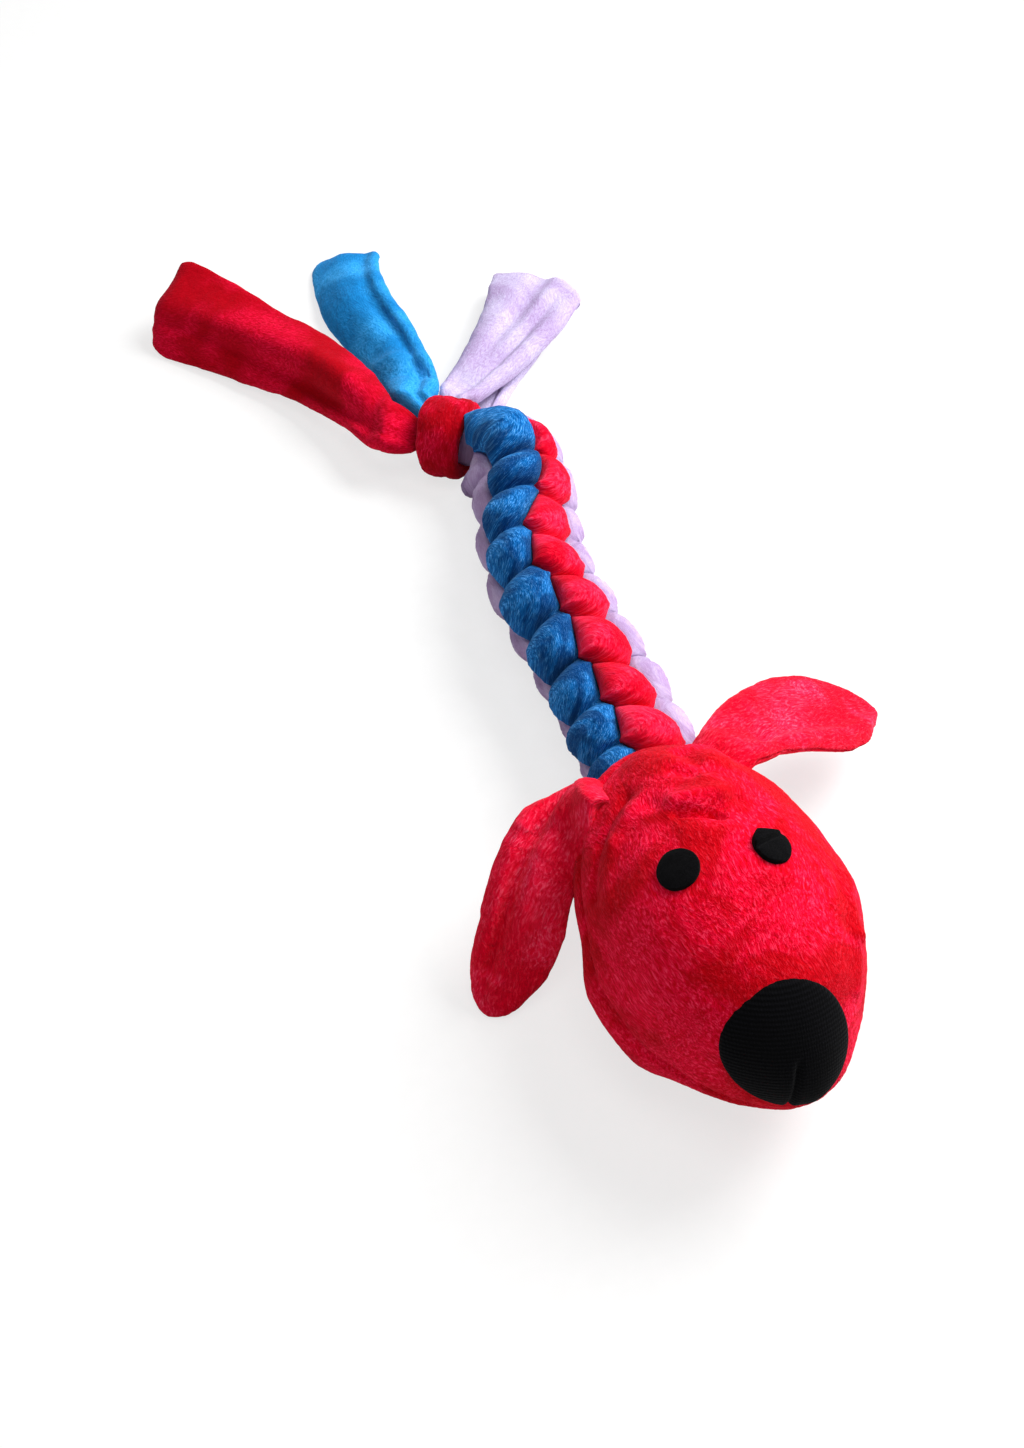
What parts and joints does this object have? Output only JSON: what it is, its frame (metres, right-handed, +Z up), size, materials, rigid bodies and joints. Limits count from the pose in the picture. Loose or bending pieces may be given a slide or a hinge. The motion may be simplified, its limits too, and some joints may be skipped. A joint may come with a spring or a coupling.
{
  "type": "squeaky plush dog toy with a braided neck",
  "caption": "Stuffed plush dog's head with floppy ears and a squeaker inside, on a long neck braided from plush strands that ends in a knot and flat loose tails.",
  "frame": {"origin": "centre of the flat under the head, on which the head rests", "axes": "+Z up from the floor, -Y towards the nose, +Y along the braided neck, +X to the dog's left"},
  "size_m": [0.1841, 0.4544, 0.0749],
  "materials": {
    "red_plush": "short, dense, brushed pile",
    "blue_plush": "short, dense, brushed pile",
    "lilac_plush": "short, dense, brushed pile",
    "black_felt": "pressed felt",
    "black_knit": "fine ribbed knit",
    "fibre_fill": "loose polyester fibre",
    "squeaker_plastic": "soft moulded plastic",
    "reed_plastic": "hard moulded plastic"
  },
  "bodies": {
    "head": {"face_panel": "red_plush", "under_panel": "red_plush", "nose_patch": "black_knit", "eye_left": "black_felt", "eye_right": "black_felt", "head_stuffing": "fibre_fill", "squeaker_base": "squeaker_plastic", "squeaker_bellows": "squeaker_plastic", "squeaker_reed_plug": "reed_plastic", "squeaker_reed": "reed_plastic", "red_strand_root": "red_plush", "blue_strand_root": "blue_plush", "lilac_left_strand_root": "lilac_plush", "lilac_right_strand_root": "lilac_plush"},
    "squeaker_top": {"squeaker_top": "squeaker_plastic"},
    "ear_left": {"ear_left_outer": "red_plush", "ear_left_lining": "red_plush"},
    "ear_right": {"ear_right_outer": "red_plush", "ear_right_lining": "red_plush"},
    "braid_neck": {"red_strand_neck": "red_plush", "blue_strand_neck": "blue_plush", "lilac_left_strand_neck": "lilac_plush", "lilac_right_strand_neck": "lilac_plush"},
    "braid_middle": {"red_strand_middle": "red_plush", "blue_strand_middle": "blue_plush", "lilac_left_strand_middle": "lilac_plush", "lilac_right_strand_middle": "lilac_plush"},
    "braid_rear": {"red_strand_rear": "red_plush", "blue_strand_rear": "blue_plush", "lilac_left_strand_rear": "lilac_plush", "lilac_right_strand_rear": "lilac_plush", "red_knot_wrap": "red_plush"},
    "red_tail": {"red_tail": "red_plush"},
    "blue_tail": {"blue_tail": "blue_plush"},
    "lilac_upper_tail": {"lilac_upper_tail": "lilac_plush"},
    "lilac_lower_tail": {"lilac_lower_tail": "lilac_plush"}
  },
  "joints": [
    {"name": "squeaker_press", "type": "slide", "parent": "head", "child": "squeaker_top", "axis": [0, 0, 1], "range_m": [-0.008, 0], "stiffness_N_per_m": 250, "deforming": ["squeaker_bellows"]},
    {"name": "ear_left_lift", "type": "hinge", "parent": "head", "child": "ear_left", "pos_m": [0.02243, 0.04714, 0.05212], "axis": [0.5322, -0.8286, 0.1739], "range_deg": [0, 60]},
    {"name": "ear_right_lift", "type": "hinge", "parent": "head", "child": "ear_right", "pos_m": [-0.02138, 0.04818, 0.05238], "axis": [0.2189, 0.7865, -0.5775], "range_deg": [0, 75]},
    {"name": "neck_turn", "type": "hinge", "parent": "head", "child": "braid_neck", "pos_m": [0.00812, 0.08707, 0.02242], "axis": [0, 0, 1], "range_deg": [-25, 25]},
    {"name": "braid_lift", "type": "hinge", "parent": "braid_neck", "child": "braid_middle", "pos_m": [0.0089, 0.13131, 0.02], "axis": [0.9996, 0.0279, 0], "range_deg": [0, 35]},
    {"name": "braid_bend", "type": "hinge", "parent": "braid_middle", "child": "braid_rear", "pos_m": [0.01179, 0.18501, 0.02], "axis": [0, 0, 1], "range_deg": [-30, 30]},
    {"name": "red_tail_lift", "type": "hinge", "parent": "braid_rear", "child": "red_tail", "pos_m": [-0.01608, 0.26004, 0.014], "axis": [0.9511, 0.309, 0], "range_deg": [0, 60]},
    {"name": "blue_tail_lift", "type": "hinge", "parent": "braid_rear", "child": "blue_tail", "pos_m": [-0.00201, 0.27184, 0.02], "axis": [0.8829, -0.4695, 0], "range_deg": [0, 60]},
    {"name": "lilac_upper_tail_lift", "type": "hinge", "parent": "braid_rear", "child": "lilac_upper_tail", "pos_m": [0.01404, 0.271, 0.016], "axis": [0.6428, -0.766, 0], "range_deg": [0, 60]},
    {"name": "lilac_lower_tail_swing", "type": "hinge", "parent": "braid_rear", "child": "lilac_lower_tail", "pos_m": [0.01883, 0.2615, 0.0066], "axis": [0, 0, 1], "range_deg": [-30, 0]}
  ]
}
